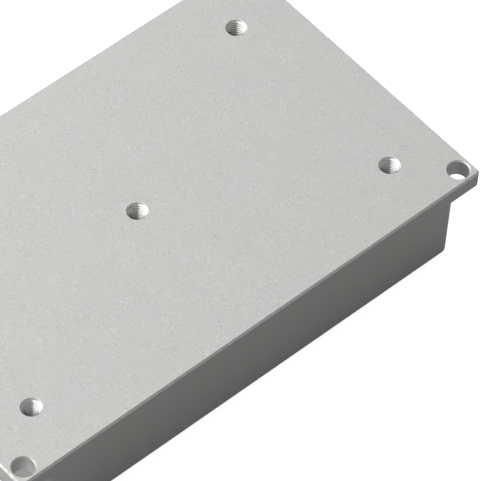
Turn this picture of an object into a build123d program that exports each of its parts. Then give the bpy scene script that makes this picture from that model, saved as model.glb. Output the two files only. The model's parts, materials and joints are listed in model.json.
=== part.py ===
from build123d import *
import os
from math import radians, tan

# Milled aluminium enclosure for a small circuit module, in millimetres.
# X runs along the plate, Y across it and +Z out of its mounting face.
# The origin is the centre of the underside, on the plane of the rim that it stands on.

# Mounting plate, with a flange past the box at each short end
plate_length = 90.5
plate_width = 54.5
plate_thickness = 3.2
plate_corner_radius = 0.8
flange_overhang = 5.0

# Box below the plate, milled from the same block
box_depth = 15.0
box_corner_radius = 1.5
flange_root_radius = 0.5
edge_break = 0.3

# Plain holes in the corners of the flanges
corner_hole_diameter = 3.4
corner_hole_inset = 2.45
corner_hole_break = 0.2

# Threaded holes in the mounting face: four in a rectangle and one in the middle
thread_diameter = 3.0
thread_mouth_diameter = 3.4
thread_depth = 6.0
thread_spacing_x = 70.5
thread_spacing_y = 35.0
boss_diameter = 8.0
boss_web = 1.0
drill_point_angle = 118.0

# Pocket, open at the underside
wall_thickness = 2.5
floor_thickness = 3.0
cutter_radius = 2.0

# Cover, let into a step in the rim
cover_thickness = 1.5
cover_sink = 0.1
cover_gap = 0.15
lip_thickness = 1.2
cover_edge_break = 0.2

# Countersunk cover screws and the posts that they go into
screw_diameter = 2.5
screw_length = 8.0
screw_head_diameter = 4.7
screw_head_angle = 90.0
screw_head_sink = 0.1
screw_thread_gap = 0.03
screw_hole_gap = 0.2
screw_tip_room = 1.0
screw_inset = 4.75
post_diameter = 6.8

# Cross recess in the head of each screw
recess_span = 2.6
recess_width = 0.7
recess_depth = 0.9

# Distance within which an edge counts as lying on a plane
nearby = 0.001

# Sizes that follow from the ones above
box_length = plate_length - 2 * flange_overhang
flange_underside = box_depth - plate_thickness
ledge_height = cover_sink + cover_thickness
pocket_top = box_depth - floor_thickness
pocket_depth = pocket_top - ledge_height
drill_point_slope = 1 / tan(radians(drill_point_angle / 2))
thread_point_depth = drill_point_slope * thread_diameter / 2
boss_height = thread_depth + thread_point_depth + boss_web - floor_thickness
screw_seat = cover_sink + screw_head_sink
post_hole_radius = screw_diameter / 2 + screw_thread_gap
post_hole_depth = screw_seat + screw_length + screw_tip_room - ledge_height
head_slope = 1 / tan(radians(screw_head_angle / 2))

thread_places = [
    (-thread_spacing_x / 2, -thread_spacing_y / 2),
    (-thread_spacing_x / 2, thread_spacing_y / 2),
    (0, 0),
    (thread_spacing_x / 2, -thread_spacing_y / 2),
    (thread_spacing_x / 2, thread_spacing_y / 2),
]
corner_hole_x = plate_length / 2 - corner_hole_inset
corner_hole_y = plate_width / 2 - corner_hole_inset
corner_hole_places = [
    (-corner_hole_x, -corner_hole_y),
    (-corner_hole_x, corner_hole_y),
    (corner_hole_x, -corner_hole_y),
    (corner_hole_x, corner_hole_y),
]

# The screws go round the cover: the four corners and the middle of each side
screw_x = box_length / 2 - screw_inset
screw_y = plate_width / 2 - screw_inset
screw_places = [(x, y) for x in (-screw_x, 0, screw_x) for y in (-screw_y, 0, screw_y) if (x, y) != (0, 0)]


def turned(outline):
    """A solid turned about Z from its half outline of (radius, height) points."""
    points = [(radius, 0, height) for radius, height in outline]
    return revolve(make_face(Polyline(*points, close=True)), Axis.Z)


def drilled_hole(radius, depth):
    """A hole from the origin down to the cone that the drill leaves, to be cut away."""
    return turned([(0, 0), (radius, 0), (radius, -depth), (0, -depth - radius * drill_point_slope)])


def hole_mouth(radius):
    """The cone that breaks the edge of a hole at the origin, to be cut away."""
    return turned([(0, 0), (radius, 0), (0, -radius)])


def through_hole(radius, length, rim_break):
    """A plain hole from the origin down through a plate, with its upper rim broken, to be cut away."""
    return turned([
        (0, 0),
        (radius + rim_break, 0),
        (radius, -rim_break),
        (radius, -length),
        (0, -length),
    ])


def placed(tool, places, height):
    """Copies of a tool at the given places, all at one height."""
    return [Pos(x, y, height) * tool for x, y in places]


def block():
    """Plate and box in one, with broken edges and rounded flange roots, before any pocket or hole."""
    plate = extrude(RectangleRounded(plate_length, plate_width, plate_corner_radius), plate_thickness)
    plate = chamfer(plate.faces().filter_by(Axis.Z).edges(), edge_break)
    box_height = box_depth - plate_thickness / 2
    box = extrude(RectangleRounded(box_length, plate_width, box_corner_radius), box_height)
    box = chamfer(box.faces().sort_by(Axis.Z)[0].edges(), edge_break)
    body = Pos(0, 0, flange_underside) * plate + box
    roots = body.edges().filter_by_position(Axis.Z, flange_underside - nearby, flange_underside + nearby)
    roots = roots.filter_by_position(Axis.X, -box_length / 2 - nearby, box_length / 2 + nearby)
    return fillet(roots, flange_root_radius)


def pocket():
    """The space that the cutter clears, with the posts and the thread bosses left standing."""
    plan = Rectangle(box_length - 2 * wall_thickness, plate_width - 2 * wall_thickness)
    plan -= [Pos(x, y) * Circle(post_diameter / 2) for x, y in screw_places]
    plan = fillet(plan.vertices(), cutter_radius)
    cleared = Pos(0, 0, ledge_height) * extrude(plan, pocket_depth)
    boss = Cylinder(boss_diameter / 2, boss_height, align=(Align.CENTER, Align.CENTER, Align.MAX))
    return cleared - placed(boss, thread_places, pocket_top)


def rim_step():
    """The step in the rim that the cover drops into."""
    plan = RectangleRounded(box_length - 2 * lip_thickness, plate_width - 2 * lip_thickness, cutter_radius)
    return extrude(plan, ledge_height)


def housing():
    """The one milled piece: plate, flanges, walls, posts and bosses."""
    body = block() - pocket() - rim_step()
    thread = drilled_hole(thread_diameter / 2, thread_depth) + hole_mouth(thread_mouth_diameter / 2)
    corner_hole = through_hole(corner_hole_diameter / 2, plate_thickness, corner_hole_break)
    post_hole = Rot(180, 0, 0) * drilled_hole(post_hole_radius, post_hole_depth)
    body -= placed(thread, thread_places, box_depth)
    body -= placed(corner_hole, corner_hole_places, box_depth)
    body -= placed(post_hole, screw_places, ledge_height)
    return body


def cover():
    """The flat plate that closes the underside, countersunk for its screws."""
    length = box_length - 2 * (lip_thickness + cover_gap)
    width = plate_width - 2 * (lip_thickness + cover_gap)
    plate = extrude(RectangleRounded(length, width, cutter_radius - cover_gap), cover_thickness)
    plate = chamfer(plate.faces().sort_by(Axis.Z)[0].edges(), cover_edge_break)
    mouth_radius = screw_head_diameter / 2 + screw_head_sink / head_slope
    hole_radius = screw_diameter / 2 + screw_hole_gap
    countersink = turned([
        (0, 0),
        (mouth_radius, 0),
        (hole_radius, (mouth_radius - hole_radius) * head_slope),
        (hole_radius, cover_thickness),
        (0, cover_thickness),
    ])
    plate -= placed(countersink, screw_places, 0)
    return Pos(0, 0, cover_sink) * plate


def cover_screw():
    """One countersunk screw, with its head at the origin and its tip up along Z."""
    head_radius = screw_head_diameter / 2
    shank_radius = screw_diameter / 2
    screw = turned([
        (0, 0),
        (head_radius, 0),
        (shank_radius, (head_radius - shank_radius) * head_slope),
        (shank_radius, screw_length),
        (0, screw_length),
    ])
    at_head = (Align.CENTER, Align.CENTER, Align.MIN)
    screw -= Box(recess_span, recess_width, recess_depth, align=at_head)
    screw -= Box(recess_width, recess_span, recess_depth, align=at_head)
    return screw


os.makedirs("parts", exist_ok=True)
export_step(housing(), "parts/housing.step")
export_step(cover(), "parts/cover.step")
for number, (x, y) in enumerate(screw_places, start=1):
    export_step(Pos(x, y, screw_seat) * cover_screw(), f"parts/cover_screw_{number}.step")
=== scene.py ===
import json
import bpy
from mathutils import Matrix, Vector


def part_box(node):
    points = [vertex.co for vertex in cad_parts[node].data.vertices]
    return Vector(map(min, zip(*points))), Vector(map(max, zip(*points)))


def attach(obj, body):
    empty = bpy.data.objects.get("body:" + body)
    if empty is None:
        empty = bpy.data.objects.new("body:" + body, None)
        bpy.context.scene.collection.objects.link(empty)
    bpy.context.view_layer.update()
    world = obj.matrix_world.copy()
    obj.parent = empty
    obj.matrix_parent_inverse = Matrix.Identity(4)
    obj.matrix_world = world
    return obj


bl_info = {
    "name": "Flanged aluminium enclosure",
    "version": (1, 0, 0),
    "blender": (4, 5, 0),
    "location": "3D View > Sidebar > Enclosure",
    "description": "Finishes, cut threads, turned screws and a white studio for the enclosure",
    "category": "Object",
}

from math import cos, pi, radians, sin

import bpy
from bpy.props import FloatProperty, FloatVectorProperty, IntProperty, PointerProperty
from mathutils import Matrix, Vector

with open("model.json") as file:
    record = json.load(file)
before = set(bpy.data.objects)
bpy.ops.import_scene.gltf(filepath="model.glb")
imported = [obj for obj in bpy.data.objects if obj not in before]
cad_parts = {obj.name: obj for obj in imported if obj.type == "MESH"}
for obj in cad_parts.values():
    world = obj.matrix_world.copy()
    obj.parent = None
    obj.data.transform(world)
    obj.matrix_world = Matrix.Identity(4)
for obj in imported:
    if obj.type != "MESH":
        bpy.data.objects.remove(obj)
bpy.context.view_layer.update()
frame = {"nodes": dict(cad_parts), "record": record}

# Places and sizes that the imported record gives, in metres
MM = 0.001
MOUNTS = {mount["name"]: mount for mount in frame["record"]["mounts"]}
THREAD_PLAN = MOUNTS["thread_rectangle"]["dims"]
CORNER_PLAN = MOUNTS["corner_holes"]["dims"]
FACE_HEIGHT = MOUNTS["mounting_face"]["pos_m"][2]
THREAD_RADIUS = THREAD_PLAN["hole_r_mm"] * MM
THREAD_X = THREAD_PLAN["spacing_x_mm"] / 2 * MM
THREAD_Y = THREAD_PLAN["spacing_y_mm"] / 2 * MM
CORNER_RADIUS = CORNER_PLAN["hole_r_mm"] * MM
CORNER_X = CORNER_PLAN["spacing_x_mm"] / 2 * MM
CORNER_Y = CORNER_PLAN["spacing_y_mm"] / 2 * MM

# Widths of the broken edges at the mouths of the holes
THREAD_BREAK = 0.2 * MM
CORNER_BREAK = 0.2 * MM

# The screws stand in a grid of three by three without its middle, so the last gives the spacing
LAST_SCREW_LOW, LAST_SCREW_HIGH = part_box("cover_screw_8")
SCREW_PITCH_X = (LAST_SCREW_LOW.x + LAST_SCREW_HIGH.x) / 2
SCREW_PITCH_Y = (LAST_SCREW_LOW.y + LAST_SCREW_HIGH.y) / 2
SCREWS = [name for name in sorted(frame["nodes"]) if name.startswith("cover_screw")]

# The finish of a hole fades out over this distance past its rim
RIM_FADE = 0.04 * MM

# Broken edges: a normal's upright share is nothing on a wall and one on a flat face. The bright
# metal comes in over the first range, going from a wall, and over the second, from a face
PAST_WALL = (0.25, 0.45)
PAST_FACE = (0.97, 0.85)

# Middle level of a noise, and the levels over which nicks and clusters of dimples begin
NOISE_MIDDLE = 0.5
NICKS_BEGIN = (0.35, 0.65)
CLUSTERS_BEGIN = (0.4, 0.62)

# Blasted surface: widths of its uneven parts, strength of its dimples outside and inside the
# clusters, tone of a dimple by its depth and by the cube of its depth, and its shine
PATCH_WIDTH = 1.6 * MM
CLUSTER_WIDTH = 2.6 * MM
LEAN_WIDTH = 6 * MM
CLOUD_WIDTH = 9 * MM
CLUSTER_STRENGTH = (0.55, 1.55)
DIMPLE_TONE = 0.35
DEEP_DIMPLE_TONE = 14.0
COOL_LEAN = -1.5
BLASTED_ROUGHNESS = 0.56
DIMPLE_SHINE = 0.6
DIMPLE_DEPTH = 0.008 * MM

# Tool marks: how unevenly they lie, what they do to the tone and the roughness of the metal, and
# how deep they are beside the dimples of the blasted surface
MARK_WANDER_WIDTH = 0.5 * MM
MARK_TONE = 0.05
MARK_ROUGHNESS = 0.24
MARK_ROUGHNESS_SPREAD = 0.12
MARK_RELIEF = 0.2

# Marks of the tap along the threads, which are a little smoother than other machined metal, and
# of the lathe on the screws
THREAD_MARK_SPACING = 0.07 * MM
THREAD_MARK_STRENGTH = 0.6
THREAD_MARK_DEPTH = 0.0006 * MM
THREAD_SHINE = 0.06
SCREW_MARK_SPACING = 0.09 * MM
SCREW_MARK_DEPTH = 0.003 * MM

# The lower turns of the threads are darkened with painted shade, deep in the hole, between these
# heights
DEEP_SHADE_HEIGHTS = (FACE_HEIGHT - 3.9 * MM, FACE_HEIGHT - 1.6 * MM)
DEEP_SHADE_TONES = (0.48, 1.02)

# Ridge of a thread, in shares of its pitch: its root in the wall, and half its width at the
# bottom and at the crest. At both ends it tapers to a tenth of its size over half a turn
RIDGE_ROOT = 0.1
RIDGE_BOTTOM = 0.47
RIDGE_CREST = 0.08
RIDGE_END_TURNS = 0.5
RIDGE_END_SIZE = 0.1

# The lens, and where it looks from and at
LENS = 334.27
SENSOR = 36.0
NEAREST_SEEN = 0.01
FARTHEST_SEEN = 20.0
VIEW_AZIMUTH = radians(45.239)
VIEW_ELEVATION = radians(52.374)
VIEW_ROLL = radians(-4.697)
VIEW_DISTANCE = 0.66522
LOOKED_AT = Vector((0.008295, -0.01396, FACE_HEIGHT))

# Where each lamp stands, in degrees to the left of the camera and above level, and its width
LEFT_LAMP = {"turn": 106, "height": 48, "size": 1.24}
BACK_LAMP = {"turn": 185, "height": 45, "size": 0.4}
LAMP_DISTANCE = 0.6

# The floor lies a hair under the rim, so that the two faces don't share a plane
FLOOR_DROP = 0.02 * MM

# The painted shadow on the floor in front of the long wall, which that wall reflects, fades into
# the light floor over the first range along Y, which lies behind the long wall, and over the
# second range of distances to the camera's left of the origin
LIGHT_ALONG_Y = (-24 * MM, -12 * MM)
LIGHT_LEFTWARDS = (6 * MM, 22 * MM)

WHITE = (1.0, 1.0, 1.0, 1.0)


class ThreadSizes(bpy.types.PropertyGroup):
    """Sizes of the threads in the mounting face."""

    pitch: FloatProperty(
        name="Pitch",
        description="Height that the thread climbs in one turn",
        default=0.5 * MM,
        unit="LENGTH",
        precision=5,
    )
    ridge_height: FloatProperty(
        name="Ridge height",
        description="Height of the ridge over the wall of the hole",
        default=0.25 * MM,
        unit="LENGTH",
        precision=5,
    )
    mouth_depth: FloatProperty(
        name="Mouth depth",
        description="Depth at which the thread begins",
        default=0.2 * MM,
        unit="LENGTH",
        precision=5,
    )
    turns: FloatProperty(
        name="Turns",
        description="Turns of the thread in each hole",
        default=10.5,
    )
    steps: IntProperty(
        name="Steps",
        description="Straight steps in one turn",
        default=48,
    )


class FinishColours(bpy.types.PropertyGroup):
    """Colours and grain of the metal."""

    blasted: FloatVectorProperty(
        name="Blasted",
        description="Colour of the blasted and anodised aluminium",
        default=(0.523, 0.526, 0.514),
        subtype="COLOR",
    )
    drilled: FloatVectorProperty(
        name="Drilled",
        description="Colour of the anodised walls of the plain holes",
        default=(0.68, 0.68, 0.67),
        subtype="COLOR",
    )
    machined: FloatVectorProperty(
        name="Machined",
        description="Colour of the bright machined aluminium in holes and on broken edges",
        default=(0.715, 0.715, 0.7),
        subtype="COLOR",
    )
    screw: FloatVectorProperty(
        name="Screw",
        description="Colour of the turned steel",
        default=(0.42, 0.42, 0.41),
        subtype="COLOR",
    )
    grain: FloatProperty(
        name="Grain",
        description="Width of one dimple of the blasted surface",
        default=0.26 * MM,
        unit="LENGTH",
        precision=5,
    )


class StudioLight(bpy.types.PropertyGroup):
    """Light and floor of the studio."""

    floor: FloatVectorProperty(
        name="Floor",
        description="Colour of the floor behind the enclosure and at its left end",
        default=(0.88, 0.88, 0.88),
        subtype="COLOR",
    )
    # Painted shadow: the floor in front of the long wall is coloured dark, and the long wall
    # reflects it
    painted_floor_shadow: FloatVectorProperty(
        name="Near floor",
        description="Colour of the floor in front of the long wall",
        default=(0.3, 0.3, 0.3),
        subtype="COLOR",
    )
    floor_size: FloatProperty(
        name="Floor size",
        description="Length of each side of the floor",
        default=4.0,
        unit="LENGTH",
    )
    white_lift: FloatProperty(
        name="White lift",
        description="White that the camera sees over the light on the floor",
        default=0.9,
    )
    white_in_metal: FloatProperty(
        name="White in metal",
        description="Share of that white that metal reflects",
        default=0.1,
    )
    left: FloatProperty(
        name="Left",
        description="Brightness of the large lamp at the left, where one is white",
        default=1.24,
    )
    back: FloatProperty(
        name="Back",
        description="Brightness of the lamp behind the enclosure, where one is white",
        default=0.64,
    )
    room: FloatProperty(
        name="Room",
        description="Brightness of the room all round, where one is white",
        default=0.297,
    )


def fill(tree, sockets, values):
    """Links sockets to others or sets them to plain values, by their names or numbers."""
    for name, value in values.items():
        if isinstance(value, bpy.types.NodeSocket):
            tree.links.new(value, sockets[name])
        else:
            sockets[name].default_value = value


def add_node(tree, kind, inputs=None, **settings):
    """Adds a node, sets its properties and fills its inputs."""
    made = tree.nodes.new(kind)
    for name, value in settings.items():
        setattr(made, name, value)
    fill(tree, made.inputs, inputs or {})
    return made


def maths(tree, operation, *values, clamp=False):
    """Output of a Math node."""
    inputs = dict(enumerate(values))
    settings = {"operation": operation, "use_clamp": clamp}
    return add_node(tree, "ShaderNodeMath", inputs, **settings).outputs[0]


def vector_maths(tree, operation, *values, output="Vector"):
    """Output of a Vector Math node."""
    inputs = dict(enumerate(values))
    return add_node(tree, "ShaderNodeVectorMath", inputs, operation=operation).outputs[output]


def combined(tree, **parts):
    """Output of a vector with the given X, Y and Z."""
    return add_node(tree, "ShaderNodeCombineXYZ", parts).outputs[0]


def part_of(tree, vector, name):
    """Output of the X, Y or Z of a vector."""
    return add_node(tree, "ShaderNodeSeparateXYZ", {0: vector}).outputs[name]


def length_from_above(tree, vector):
    """Output of how long a vector is when it is seen from above."""
    flat = vector_maths(tree, "MULTIPLY", vector, (1, 1, 0))
    return vector_maths(tree, "LENGTH", flat, output="Value")


def smooth_step(tree, value, start, end, low=0.0, high=1.0):
    """Output that goes smoothly from low at the start value to high at the end value."""
    inputs = {"Value": value, "From Min": start, "From Max": end, "To Min": low, "To Max": high}
    made = add_node(tree, "ShaderNodeMapRange", inputs, interpolation_type="SMOOTHSTEP")
    return made.outputs["Result"]


def mixed(tree, share, first, second):
    """Output value between two values."""
    return add_node(tree, "ShaderNodeMix", {0: share, 2: first, 3: second}).outputs[0]


def mixed_colour(tree, share, first, second, way="MIX"):
    """Output colour between two colours."""
    inputs = {0: share, 6: first, 7: second}
    made = add_node(tree, "ShaderNodeMix", inputs, data_type="RGBA", blend_type=way)
    return made.outputs[2]


def toned(tree, colour, tone):
    """Output colour made lighter or darker by a tone."""
    return mixed_colour(tree, 1.0, colour, tone, "MULTIPLY")


def noise(tree, place, width, detail, roughness):
    """Output of a noise whose patches are about as wide as given."""
    inputs = {
        "Vector": place,
        "Scale": maths(tree, "DIVIDE", 1.0, width),
        "Detail": detail,
        "Roughness": roughness,
    }
    return add_node(tree, "ShaderNodeTexNoise", inputs).outputs["Fac"]


def place_on_piece(tree):
    """Output with the place on the piece, in metres."""
    return add_node(tree, "ShaderNodeTexCoord").outputs["Object"]


def opaque(colour):
    """A colour with full alpha, as a node socket takes it."""
    return (*colour, 1.0)


def new_shader_group(name, inputs, outputs):
    """An empty shader group with its sockets, and the sockets of its two ends."""
    tree = bpy.data.node_groups.new(name, "ShaderNodeTree")
    for socket_name, kind, default in inputs:
        kind = f"NodeSocket{kind}"
        socket = tree.interface.new_socket(socket_name, in_out="INPUT", socket_type=kind)
        socket.default_value = default
    for socket_name, kind in outputs:
        kind = f"NodeSocket{kind}"
        tree.interface.new_socket(socket_name, in_out="OUTPUT", socket_type=kind)
    given = tree.nodes.new("NodeGroupInput").outputs
    result = tree.nodes.new("NodeGroupOutput").inputs
    return tree, given, result


def near_hole_group(name):
    """Mask of the holes on an upright axis and on its mirror images in both middle planes."""
    inputs = [
        ("Axis X", "Float", 0.0),
        ("Axis Y", "Float", 0.0),
        ("Radius", "Float", THREAD_RADIUS),
    ]
    tree, given, result = new_shader_group(name, inputs, [("Mask", "Float")])
    folded = vector_maths(tree, "ABSOLUTE", place_on_piece(tree))
    axis = combined(tree, X=given["Axis X"], Y=given["Axis Y"])
    distance = length_from_above(tree, vector_maths(tree, "SUBTRACT", folded, axis))
    outside = maths(tree, "ADD", given["Radius"], RIM_FADE)
    fill(tree, result, {"Mask": smooth_step(tree, distance, outside, given["Radius"])})


def broken_edge_group(name):
    """Mask of the broken edges of plate, box and holes. Small nicks wear through it."""
    inputs = [("Nick Width", "Float", 0.6 * MM), ("Wear", "Float", 0.55)]
    tree, given, result = new_shader_group(name, inputs, [("Mask", "Float")])
    normal = add_node(tree, "ShaderNodeTexCoord").outputs["Normal"]
    upright = maths(tree, "ABSOLUTE", part_of(tree, normal, "Z"))
    past_wall = smooth_step(tree, upright, *PAST_WALL)
    past_face = smooth_step(tree, upright, *PAST_FACE)
    place = place_on_piece(tree)
    speckle = noise(tree, place, given["Nick Width"], detail=4.0, roughness=0.7)
    nicks = smooth_step(tree, speckle, *NICKS_BEGIN)
    kept = maths(tree, "SUBTRACT", 1.0, maths(tree, "MULTIPLY", nicks, given["Wear"]))
    slanting = maths(tree, "MULTIPLY", past_wall, past_face)
    fill(tree, result, {"Mask": maths(tree, "MULTIPLY", slanting, kept)})


def swing(tree, value, share):
    """Output of a noise counted from its middle level, times a share."""
    return maths(tree, "MULTIPLY", maths(tree, "SUBTRACT", value, NOISE_MIDDLE), share)


def blasted_group(name):
    """Fine dimples of a blasted surface, in clusters, with faint patches and clouds over them."""
    inputs = [
        ("Colour", "Color", WHITE),
        ("Grain", "Float", 0.26 * MM),
        ("Contrast", "Float", 0.4),
        ("Patches", "Float", 0.045),
        ("Clouds", "Float", 0.045),
        ("Tint", "Float", 0.02),
    ]
    outputs = [("Colour", "Color"), ("Roughness", "Float"), ("Height", "Float")]
    tree, given, result = new_shader_group(name, inputs, outputs)
    place = place_on_piece(tree)
    dimples = noise(tree, place, given["Grain"], detail=2.0, roughness=0.55)
    patches = noise(tree, place, PATCH_WIDTH, detail=2.0, roughness=0.6)
    clouds = noise(tree, place, CLOUD_WIDTH, detail=3.0, roughness=0.6)

    # Few dimples stand out, and where they do they come close together
    off_level = maths(tree, "SUBTRACT", dimples, NOISE_MIDDLE)
    squared = maths(tree, "MULTIPLY", off_level, off_level)
    weight = maths(tree, "MULTIPLY_ADD", squared, DEEP_DIMPLE_TONE, DIMPLE_TONE)
    standing_out = maths(tree, "MULTIPLY", off_level, weight)
    gathered = noise(tree, place, CLUSTER_WIDTH, detail=3.0, roughness=0.6)
    clusters = smooth_step(tree, gathered, *CLUSTERS_BEGIN, *CLUSTER_STRENGTH)
    clustered = maths(tree, "MULTIPLY", standing_out, clusters)
    fine = maths(tree, "MULTIPLY", clustered, given["Contrast"])
    middle = swing(tree, patches, given["Patches"])
    wide = swing(tree, clouds, given["Clouds"])
    tone = maths(tree, "ADD", maths(tree, "ADD", 1.0, fine), maths(tree, "ADD", middle, wide))

    # The clear finish leans to the warm side in some places and to the cool side in others
    leaning = noise(tree, place, LEAN_WIDTH, detail=2.0, roughness=0.5)
    lean = maths(tree, "SUBTRACT", leaning, NOISE_MIDDLE)
    warm = maths(tree, "MULTIPLY_ADD", lean, given["Tint"], tone)
    cool_tint = maths(tree, "MULTIPLY", given["Tint"], COOL_LEAN)
    cool = maths(tree, "MULTIPLY_ADD", lean, cool_tint, tone)
    tones = add_node(tree, "ShaderNodeCombineColor", {0: warm, 1: tone, 2: cool}).outputs[0]
    shine = maths(tree, "MULTIPLY", fine, DIMPLE_SHINE)
    fill(tree, result, {
        "Colour": toned(tree, given["Colour"], tones),
        "Roughness": maths(tree, "SUBTRACT", BLASTED_ROUGHNESS, shine),
        "Height": dimples,
    })


def tool_mark_group(name):
    """Fine even marks of a tool, across a value that grows by one spacing from mark to mark."""
    inputs = [
        ("Along", "Float", 0.0),
        ("Spacing", "Float", 0.06 * MM),
        ("Depth", "Float", 1.0),
    ]
    outputs = [("Tone", "Float"), ("Roughness", "Float"), ("Height", "Float")]
    tree, given, result = new_shader_group(name, inputs, outputs)
    turns = maths(tree, "DIVIDE", given["Along"], given["Spacing"])
    place = place_on_piece(tree)
    wander = noise(tree, place, MARK_WANDER_WIDTH, detail=3.0, roughness=0.6)
    angle = maths(tree, "MULTIPLY", maths(tree, "ADD", turns, wander), 2 * pi)
    marks = maths(tree, "MULTIPLY", maths(tree, "SINE", angle), given["Depth"])
    fill(tree, result, {
        "Tone": maths(tree, "MULTIPLY_ADD", marks, MARK_TONE, 1.0),
        "Roughness": maths(tree, "MULTIPLY_ADD", wander, MARK_ROUGHNESS_SPREAD, MARK_ROUGHNESS),
        "Height": marks,
    })


# The effects that several finishes share
EFFECTS = {
    "near_hole": near_hole_group,
    "broken_edge": broken_edge_group,
    "blasted_surface": blasted_group,
    "tool_marks": tool_mark_group,
}


def place_effect(tree, name, inputs=None):
    """Outputs of a shared effect in a material, with its own values. The first use builds it."""
    if name not in bpy.data.node_groups:
        EFFECTS[name](name)
    made = tree.nodes.new("ShaderNodeGroup")
    made.node_tree = bpy.data.node_groups[name]
    fill(tree, made.inputs, inputs or {})
    return made.outputs


def new_material(name):
    """A material with a Principled shader, its tree and the inputs of that shader."""
    material = bpy.data.materials.new(name)
    material.use_nodes = True
    tree = material.node_tree
    return material, tree, tree.nodes["Principled BSDF"].inputs


def bump(tree, height, depth):
    """Normal of a surface whose height of one stands for that depth, in metres."""
    return add_node(tree, "ShaderNodeBump", {"Height": height, "Distance": depth}).outputs[0]


def hole_mask(tree, holes, mask=0.0):
    """Mask of the given holes, added to the one given."""
    for hole in holes:
        mask = maths(tree, "MAXIMUM", mask, place_effect(tree, "near_hole", hole)["Mask"])
    return mask


def aluminium(name, colours, tapped, drilled):
    """Blasted aluminium, machined bright afterwards in tapped holes and on broken edges."""
    material, tree, shader = new_material(name)
    machined = hole_mask(tree, tapped, place_effect(tree, "broken_edge")["Mask"])
    marks = place_effect(tree, "tool_marks", {"Along": part_of(tree, place_on_piece(tree), "Z")})
    anodised = opaque(colours.blasted)
    if drilled:
        in_holes = hole_mask(tree, drilled)
        anodised = mixed_colour(tree, in_holes, anodised, opaque(colours.drilled))
    skin = place_effect(tree, "blasted_surface", {"Colour": anodised, "Grain": colours.grain})
    bright = toned(tree, opaque(colours.machined), marks["Tone"])
    mark_relief = maths(tree, "MULTIPLY", marks["Height"], MARK_RELIEF)
    relief = mixed(tree, machined, skin["Height"], mark_relief)
    fill(tree, shader, {
        "Base Color": mixed_colour(tree, machined, skin["Colour"], bright),
        "Metallic": 1.0,
        "Roughness": mixed(tree, machined, skin["Roughness"], marks["Roughness"]),
        "Normal": bump(tree, relief, DIMPLE_DEPTH),
    })
    return material


def thread_metal(colours):
    """Bright aluminium of the cut threads, with fine marks along the flanks and painted shade on
    the lower turns.
    """
    material, tree, shader = new_material("cut_thread")
    height = part_of(tree, place_on_piece(tree), "Z")
    marks = place_effect(tree, "tool_marks", {
        "Along": height,
        "Spacing": THREAD_MARK_SPACING,
        "Depth": THREAD_MARK_STRENGTH,
    })
    # Painted shade: the lower turns are darkened by their height, for the shade deep in the hole
    painted_deep_shade = smooth_step(tree, height, *DEEP_SHADE_HEIGHTS, *DEEP_SHADE_TONES)
    tone = maths(tree, "MULTIPLY", marks["Tone"], painted_deep_shade)
    fill(tree, shader, {
        "Base Color": toned(tree, opaque(colours.machined), tone),
        "Metallic": 1.0,
        "Roughness": maths(tree, "SUBTRACT", marks["Roughness"], THREAD_SHINE),
        "Normal": bump(tree, marks["Height"], THREAD_MARK_DEPTH),
    })
    return material


def screw_metal(colours):
    """Turned steel, with rings round the axis of each screw."""
    material, tree, shader = new_material("turned_steel")
    half_pitch = Vector((SCREW_PITCH_X / 2, SCREW_PITCH_Y / 2, 1.0))
    place = place_on_piece(tree)
    from_axis = vector_maths(tree, "WRAP", place, tuple(half_pitch), tuple(-half_pitch))
    rings = place_effect(tree, "tool_marks", {
        "Along": length_from_above(tree, from_axis),
        "Spacing": SCREW_MARK_SPACING,
    })
    fill(tree, shader, {
        "Base Color": toned(tree, opaque(colours.screw), rings["Tone"]),
        "Metallic": 1.0,
        "Roughness": rings["Roughness"],
        "Normal": bump(tree, rings["Height"], SCREW_MARK_DEPTH),
    })
    return material


def give_finish(node_name, material):
    """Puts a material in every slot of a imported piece, whose shape stays as it is."""
    piece = frame["nodes"][node_name]
    piece.data.materials.clear()
    piece.data.materials.append(material)


class FinishHousing(bpy.types.Operator):
    """Gives the housing its blasted faces and its bright holes and edges"""

    bl_idname = "enclosure.finish_housing"
    bl_label = "Finish the housing"

    def execute(self, context):
        mouth = THREAD_RADIUS + THREAD_BREAK
        rim = CORNER_RADIUS + CORNER_BREAK
        tapped = [
            {"Axis X": THREAD_X, "Axis Y": THREAD_Y, "Radius": mouth},
            {"Axis X": 0.0, "Axis Y": 0.0, "Radius": mouth},
        ]
        drilled = [{"Axis X": CORNER_X, "Axis Y": CORNER_Y, "Radius": rim}]
        colours = context.scene.enclosure_colours
        give_finish("housing", aluminium("blasted_housing", colours, tapped, drilled))
        return {"FINISHED"}


class FinishCover(bpy.types.Operator):
    """Gives the cover its blasted face and its bright countersinks"""

    bl_idname = "enclosure.finish_cover"
    bl_label = "Finish the cover"

    def execute(self, context):
        colours = context.scene.enclosure_colours
        give_finish("cover", aluminium("blasted_cover", colours, [], []))
        return {"FINISHED"}


class FinishScrews(bpy.types.Operator):
    """Gives the cover screws their turned steel"""

    bl_idname = "enclosure.finish_screws"
    bl_label = "Finish the screws"

    def execute(self, context):
        steel = screw_metal(context.scene.enclosure_colours)
        for name in SCREWS:
            give_finish(name, steel)
        return {"FINISHED"}


def ridge_outline(tree, given, root):
    """Outline of a ridge, from its root to its crest and back, and how many corners it has."""
    crest = maths(tree, "SUBTRACT", maths(tree, "MULTIPLY", given["Ridge Height"], -1.0), root)
    shape = (
        (0.0, RIDGE_BOTTOM),
        (crest, RIDGE_CREST),
        (crest, -RIDGE_CREST),
        (0.0, -RIDGE_BOTTOM),
    )
    corners = {}
    for number, (out, share) in enumerate(shape, start=1):
        side = maths(tree, "MULTIPLY", given["Pitch"], share)
        corners[f"Point {number}"] = combined(tree, X=out, Y=side)
    made = add_node(tree, "GeometryNodeCurvePrimitiveQuadrilateral", corners, mode="POINTS")
    return made.outputs[0], len(shape)


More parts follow.
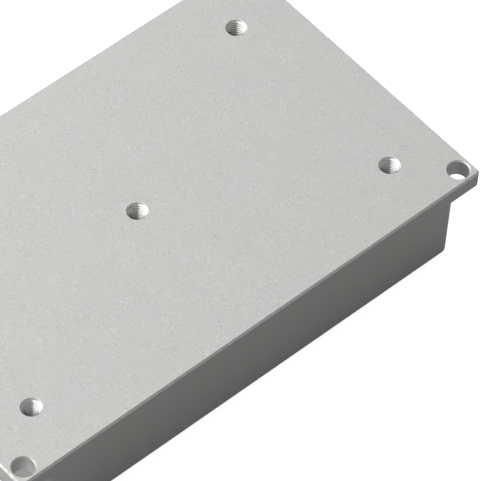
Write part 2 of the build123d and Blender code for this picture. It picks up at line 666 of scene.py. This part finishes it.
def wound_ridge(tree, given, height):
    """A ridge that winds up round the axis of a hole from the origin, with sharp edges."""
    # The ridge is rooted a little way into the wall, so that no gap shows behind it
    root = maths(tree, "MULTIPLY", given["Pitch"], RIDGE_ROOT)
    helix_radius = maths(tree, "ADD", given["Wall Radius"], root)
    helix = add_node(tree, "GeometryNodeCurveSpiral", {
        "Resolution": given["Steps"],
        "Rotations": given["Turns"],
        "Start Radius": helix_radius,
        "End Radius": helix_radius,
        "Height": height,
        "Reverse": True,
    }).outputs[0]
    upright = add_node(tree, "GeometryNodeSetCurveNormal", {"Curve": helix}, mode="Z_UP")
    outline, corner_count = ridge_outline(tree, given, root)

    # The ridge tapers at both ends
    along = tree.nodes.new("GeometryNodeSplineParameter").outputs["Factor"]
    end_share = maths(tree, "DIVIDE", RIDGE_END_TURNS, given["Turns"])
    at_start = smooth_step(tree, along, 0.0, end_share, RIDGE_END_SIZE, 1.0)
    to_go = maths(tree, "SUBTRACT", 1.0, along)
    at_end = smooth_step(tree, to_go, 0.0, end_share, RIDGE_END_SIZE, 1.0)
    ridge = add_node(tree, "GeometryNodeCurveToMesh", {
        "Curve": upright.outputs[0],
        "Profile Curve": outline,
        "Scale": maths(tree, "MULTIPLY", at_start, at_end),
        "Fill Caps": True,
    }).outputs[0]

    # An edge along the ridge joins the same corner of two outlines, so its ends are at least
    # as many points apart as an outline has corners
    ends = tree.nodes.new("GeometryNodeInputMeshEdgeVertices").outputs
    step = maths(tree, "SUBTRACT", ends["Vertex Index 1"], ends["Vertex Index 2"])
    apart = maths(tree, "ABSOLUTE", step)
    return add_node(tree, "GeometryNodeSetShadeSmooth", {
        "Geometry": ridge,
        "Selection": maths(tree, "GREATER_THAN", apart, corner_count - 0.5),
        "Shade Smooth": False,
    }, domain="EDGE").outputs[0]


def thread_places(tree, given, height):
    """Points under the corners of the rectangle and under its middle, where the threads begin."""
    grid = add_node(tree, "GeometryNodeMeshGrid", {
        "Size X": given["Spacing X"],
        "Size Y": given["Spacing Y"],
        "Vertices X": 2,
        "Vertices Y": 2,
    }).outputs[0]
    middle = add_node(tree, "GeometryNodeMeshLine", {"Count": 1}).outputs[0]
    points = add_node(tree, "GeometryNodeJoinGeometry", {0: grid})
    tree.links.new(middle, points.inputs[0])
    return add_node(tree, "GeometryNodeSetPosition", {
        "Geometry": points.outputs[0],
        "Offset": combined(tree, Z=maths(tree, "SUBTRACT", given["Top"], height)),
    }).outputs[0]


def thread_tree():
    """Geometry nodes that wind a ridge up a hole's wall and put a copy in each threaded hole."""
    tree = bpy.data.node_groups.new("cut_threads", "GeometryNodeTree")
    tree.interface.new_socket("Geometry", in_out="OUTPUT", socket_type="NodeSocketGeometry")
    lengths = ("Pitch", "Ridge Height", "Wall Radius", "Top", "Spacing X", "Spacing Y")
    for name in (*lengths, "Turns"):
        tree.interface.new_socket(name, in_out="INPUT", socket_type="NodeSocketFloat")
    tree.interface.new_socket("Steps", in_out="INPUT", socket_type="NodeSocketInt")
    tree.interface.new_socket("Material", in_out="INPUT", socket_type="NodeSocketMaterial")
    given = tree.nodes.new("NodeGroupInput").outputs
    result = tree.nodes.new("NodeGroupOutput").inputs
    height = maths(tree, "MULTIPLY", given["Pitch"], given["Turns"])
    copies = add_node(tree, "GeometryNodeInstanceOnPoints", {
        "Points": thread_places(tree, given, height),
        "Instance": wound_ridge(tree, given, height),
    }).outputs[0]
    real = add_node(tree, "GeometryNodeRealizeInstances", {"Geometry": copies}).outputs[0]
    shown = add_node(tree, "GeometryNodeSetMaterial", {
        "Geometry": real,
        "Material": given["Material"],
    }).outputs[0]
    fill(tree, result, {"Geometry": shown})
    return tree


def add_object(name, data):
    """A new object with that data, in the scene."""
    made = bpy.data.objects.new(name, data)
    bpy.context.scene.collection.objects.link(made)
    return made


def made_by_nodes(name, tree, inputs):
    """A plain mesh piece made by a tree of geometry nodes with the given inputs."""
    piece = add_object(name, bpy.data.meshes.new(name))
    modifier = piece.modifiers.new(name, "NODES")
    modifier.node_group = tree
    for item in tree.interface.items_tree:
        if item.in_out == "INPUT":
            modifier[item.identifier] = inputs[item.name]
    evaluated = piece.evaluated_get(bpy.context.evaluated_depsgraph_get())
    plain = bpy.data.meshes.new_from_object(evaluated)
    piece.modifiers.clear()
    piece.data = plain
    plain.name = name
    plain.materials.clear()
    plain.materials.append(inputs["Material"])
    return piece


class CutThreads(bpy.types.Operator):
    """Winds a thread into each of the five threaded holes"""

    bl_idname = "enclosure.cut_threads"
    bl_label = "Cut the threads"

    def execute(self, context):
        sizes = context.scene.enclosure_threads
        piece = made_by_nodes("threads", thread_tree(), {
            "Pitch": sizes.pitch,
            "Ridge Height": sizes.ridge_height,
            "Wall Radius": THREAD_RADIUS,
            "Top": FACE_HEIGHT - sizes.mouth_depth,
            "Spacing X": 2 * THREAD_X,
            "Spacing Y": 2 * THREAD_Y,
            "Turns": sizes.turns,
            "Steps": sizes.steps,
            "Material": thread_metal(context.scene.enclosure_colours),
        })
        if not piece.data.polygons:
            raise RuntimeError("the threads came out empty")
        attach(piece, "root")
        return {"FINISHED"}


def view_axes():
    """Right, up and back of the camera."""
    forward = Vector((
        sin(VIEW_AZIMUTH) * cos(VIEW_ELEVATION),
        cos(VIEW_AZIMUTH) * cos(VIEW_ELEVATION),
        -sin(VIEW_ELEVATION),
    ))
    level_right = Vector((cos(VIEW_AZIMUTH), -sin(VIEW_AZIMUTH), 0.0))
    right = Matrix.Rotation(VIEW_ROLL, 3, forward) @ level_right
    return right, right.cross(forward), -forward


def add_camera():
    """The camera at the angle of the photograph."""
    data = bpy.data.cameras.new("view")
    data.lens = LENS
    data.sensor_width = SENSOR
    data.clip_start = NEAREST_SEEN
    data.clip_end = FARTHEST_SEEN
    camera = add_object("view", data)
    right, up, back = view_axes()
    turned = Matrix((right, up, back)).transposed()
    camera.matrix_world = Matrix.Translation(LOOKED_AT + VIEW_DISTANCE * back) @ turned.to_4x4()
    bpy.context.scene.camera = camera


def towards(turn, height):
    """Direction at so many degrees to the left of the camera's side, and so many above level."""
    azimuth = VIEW_AZIMUTH + pi + radians(turn)
    level = Vector((sin(azimuth), cos(azimuth), 0.0))
    return level * cos(radians(height)) + Vector((0.0, 0.0, sin(radians(height))))


def soft_lamp(name, brightness, turn, height, size):
    """A square lamp that faces the enclosure. A brightness of one makes its face white."""
    data = bpy.data.lights.new(name, "AREA")
    data.shape = "SQUARE"
    data.size = size
    data.energy = brightness * pi * size**2
    lamp = add_object(name, data)
    direction = towards(turn, height)
    lamp.location = direction * LAMP_DISTANCE
    lamp.rotation_euler = (-direction).to_track_quat("-Z", "Y").to_euler()
    lamp.visible_camera = False


def background_share(tree, white_in_metal):
    """How much of the plain white background each kind of ray sees."""
    rays = add_node(tree, "ShaderNodeLightPath").outputs
    direct = maths(tree, "ADD", rays["Is Camera Ray"], rays["Is Transmission Ray"])
    return maths(tree, "MULTIPLY_ADD", rays["Is Glossy Ray"], white_in_metal, direct, clamp=True)


def paper_colour(tree, light):
    """Colour of the floor, with a painted shadow in front of the long wall, which that wall
    reflects.
    """
    place = place_on_piece(tree)
    leftwards = vector_maths(tree, "DOT_PRODUCT", place, towards(90, 0), output="Value")
    behind = smooth_step(tree, part_of(tree, place, "Y"), *LIGHT_ALONG_Y)
    at_left_end = smooth_step(tree, leftwards, *LIGHT_LEFTWARDS)
    # Outside the painted shadow in front of the long wall, the floor has its light colour
    outside_painted_shadow = maths(tree, "MAXIMUM", behind, at_left_end)
    return mixed_colour(tree, outside_painted_shadow, opaque(light.painted_floor_shadow), opaque(light.floor))


def add_floor(light):
    """A pale floor with a painted shadow in front of the long wall. The camera sees it white,
    with the shadow left on it.
    """
    half = light.floor_size / 2
    square = ((-half, -half), (half, -half), (half, half), (-half, half))
    mesh = bpy.data.meshes.new("floor")
    mesh.from_pydata([(x, y, -FLOOR_DROP) for x, y in square], [], [(0, 1, 2, 3)])
    floor = add_object("floor", mesh)
    material, tree, shader = new_material("white_floor")
    seen = background_share(tree, light.white_in_metal)
    fill(tree, shader, {
        "Base Color": paper_colour(tree, light),
        "Roughness": 0.9,
        "Specular IOR Level": 0.1,
        "Emission Color": WHITE,
        "Emission Strength": maths(tree, "MULTIPLY", seen, light.white_lift),
    })
    mesh.materials.append(material)


def add_room(light):
    """Dim light all round, and a white background."""
    world = bpy.data.worlds.new("room")
    world.use_nodes = True
    bpy.context.scene.world = world
    tree = world.node_tree
    seen = background_share(tree, light.white_in_metal)
    fill(tree, tree.nodes["Background"].inputs, {
        "Color": WHITE,
        "Strength": mixed(tree, seen, light.room, 1.0),
    })


class SetStage(bpy.types.Operator):
    """Sets the camera, the white floor and the soft lamps"""

    bl_idname = "enclosure.set_stage"
    bl_label = "Set the stage"

    def execute(self, context):
        light = context.scene.enclosure_light
        add_camera()
        add_floor(light)
        add_room(light)
        soft_lamp("left", light.left, **LEFT_LAMP)
        soft_lamp("back", light.back, **BACK_LAMP)
        context.scene.view_settings.view_transform = "Standard"
        return {"FINISHED"}


class EnclosurePanel(bpy.types.Panel):
    """Sizes, colours and light of the enclosure, and the steps that build it"""

    bl_idname = "VIEW3D_PT_enclosure"
    bl_label = "Aluminium enclosure"
    bl_space_type = "VIEW_3D"
    bl_region_type = "UI"
    bl_category = "Enclosure"

    def draw(self, context):
        scene = context.scene
        for group in (scene.enclosure_threads, scene.enclosure_colours, scene.enclosure_light):
            box = self.layout.box()
            for name in group.__annotations__:
                box.prop(group, name)
        for operator in OPERATORS:
            self.layout.operator(operator.bl_idname)


OPERATORS = (FinishHousing, FinishCover, FinishScrews, CutThreads, SetStage)
CLASSES = (ThreadSizes, FinishColours, StudioLight, *OPERATORS, EnclosurePanel)


def register():
    """Adds the classes and their settings to Blender."""
    for added in CLASSES:
        bpy.utils.register_class(added)
    bpy.types.Scene.enclosure_threads = PointerProperty(type=ThreadSizes)
    bpy.types.Scene.enclosure_colours = PointerProperty(type=FinishColours)
    bpy.types.Scene.enclosure_light = PointerProperty(type=StudioLight)


def unregister():
    """Takes them out again."""
    del bpy.types.Scene.enclosure_light
    del bpy.types.Scene.enclosure_colours
    del bpy.types.Scene.enclosure_threads
    for added in reversed(CLASSES):
        bpy.utils.unregister_class(added)


def main():
    """Builds the whole scene."""
    register()
    bpy.ops.enclosure.finish_housing()
    bpy.ops.enclosure.finish_cover()
    bpy.ops.enclosure.finish_screws()
    bpy.ops.enclosure.cut_threads()
    bpy.ops.enclosure.set_stage()


if __name__ == "__main__":
    main()
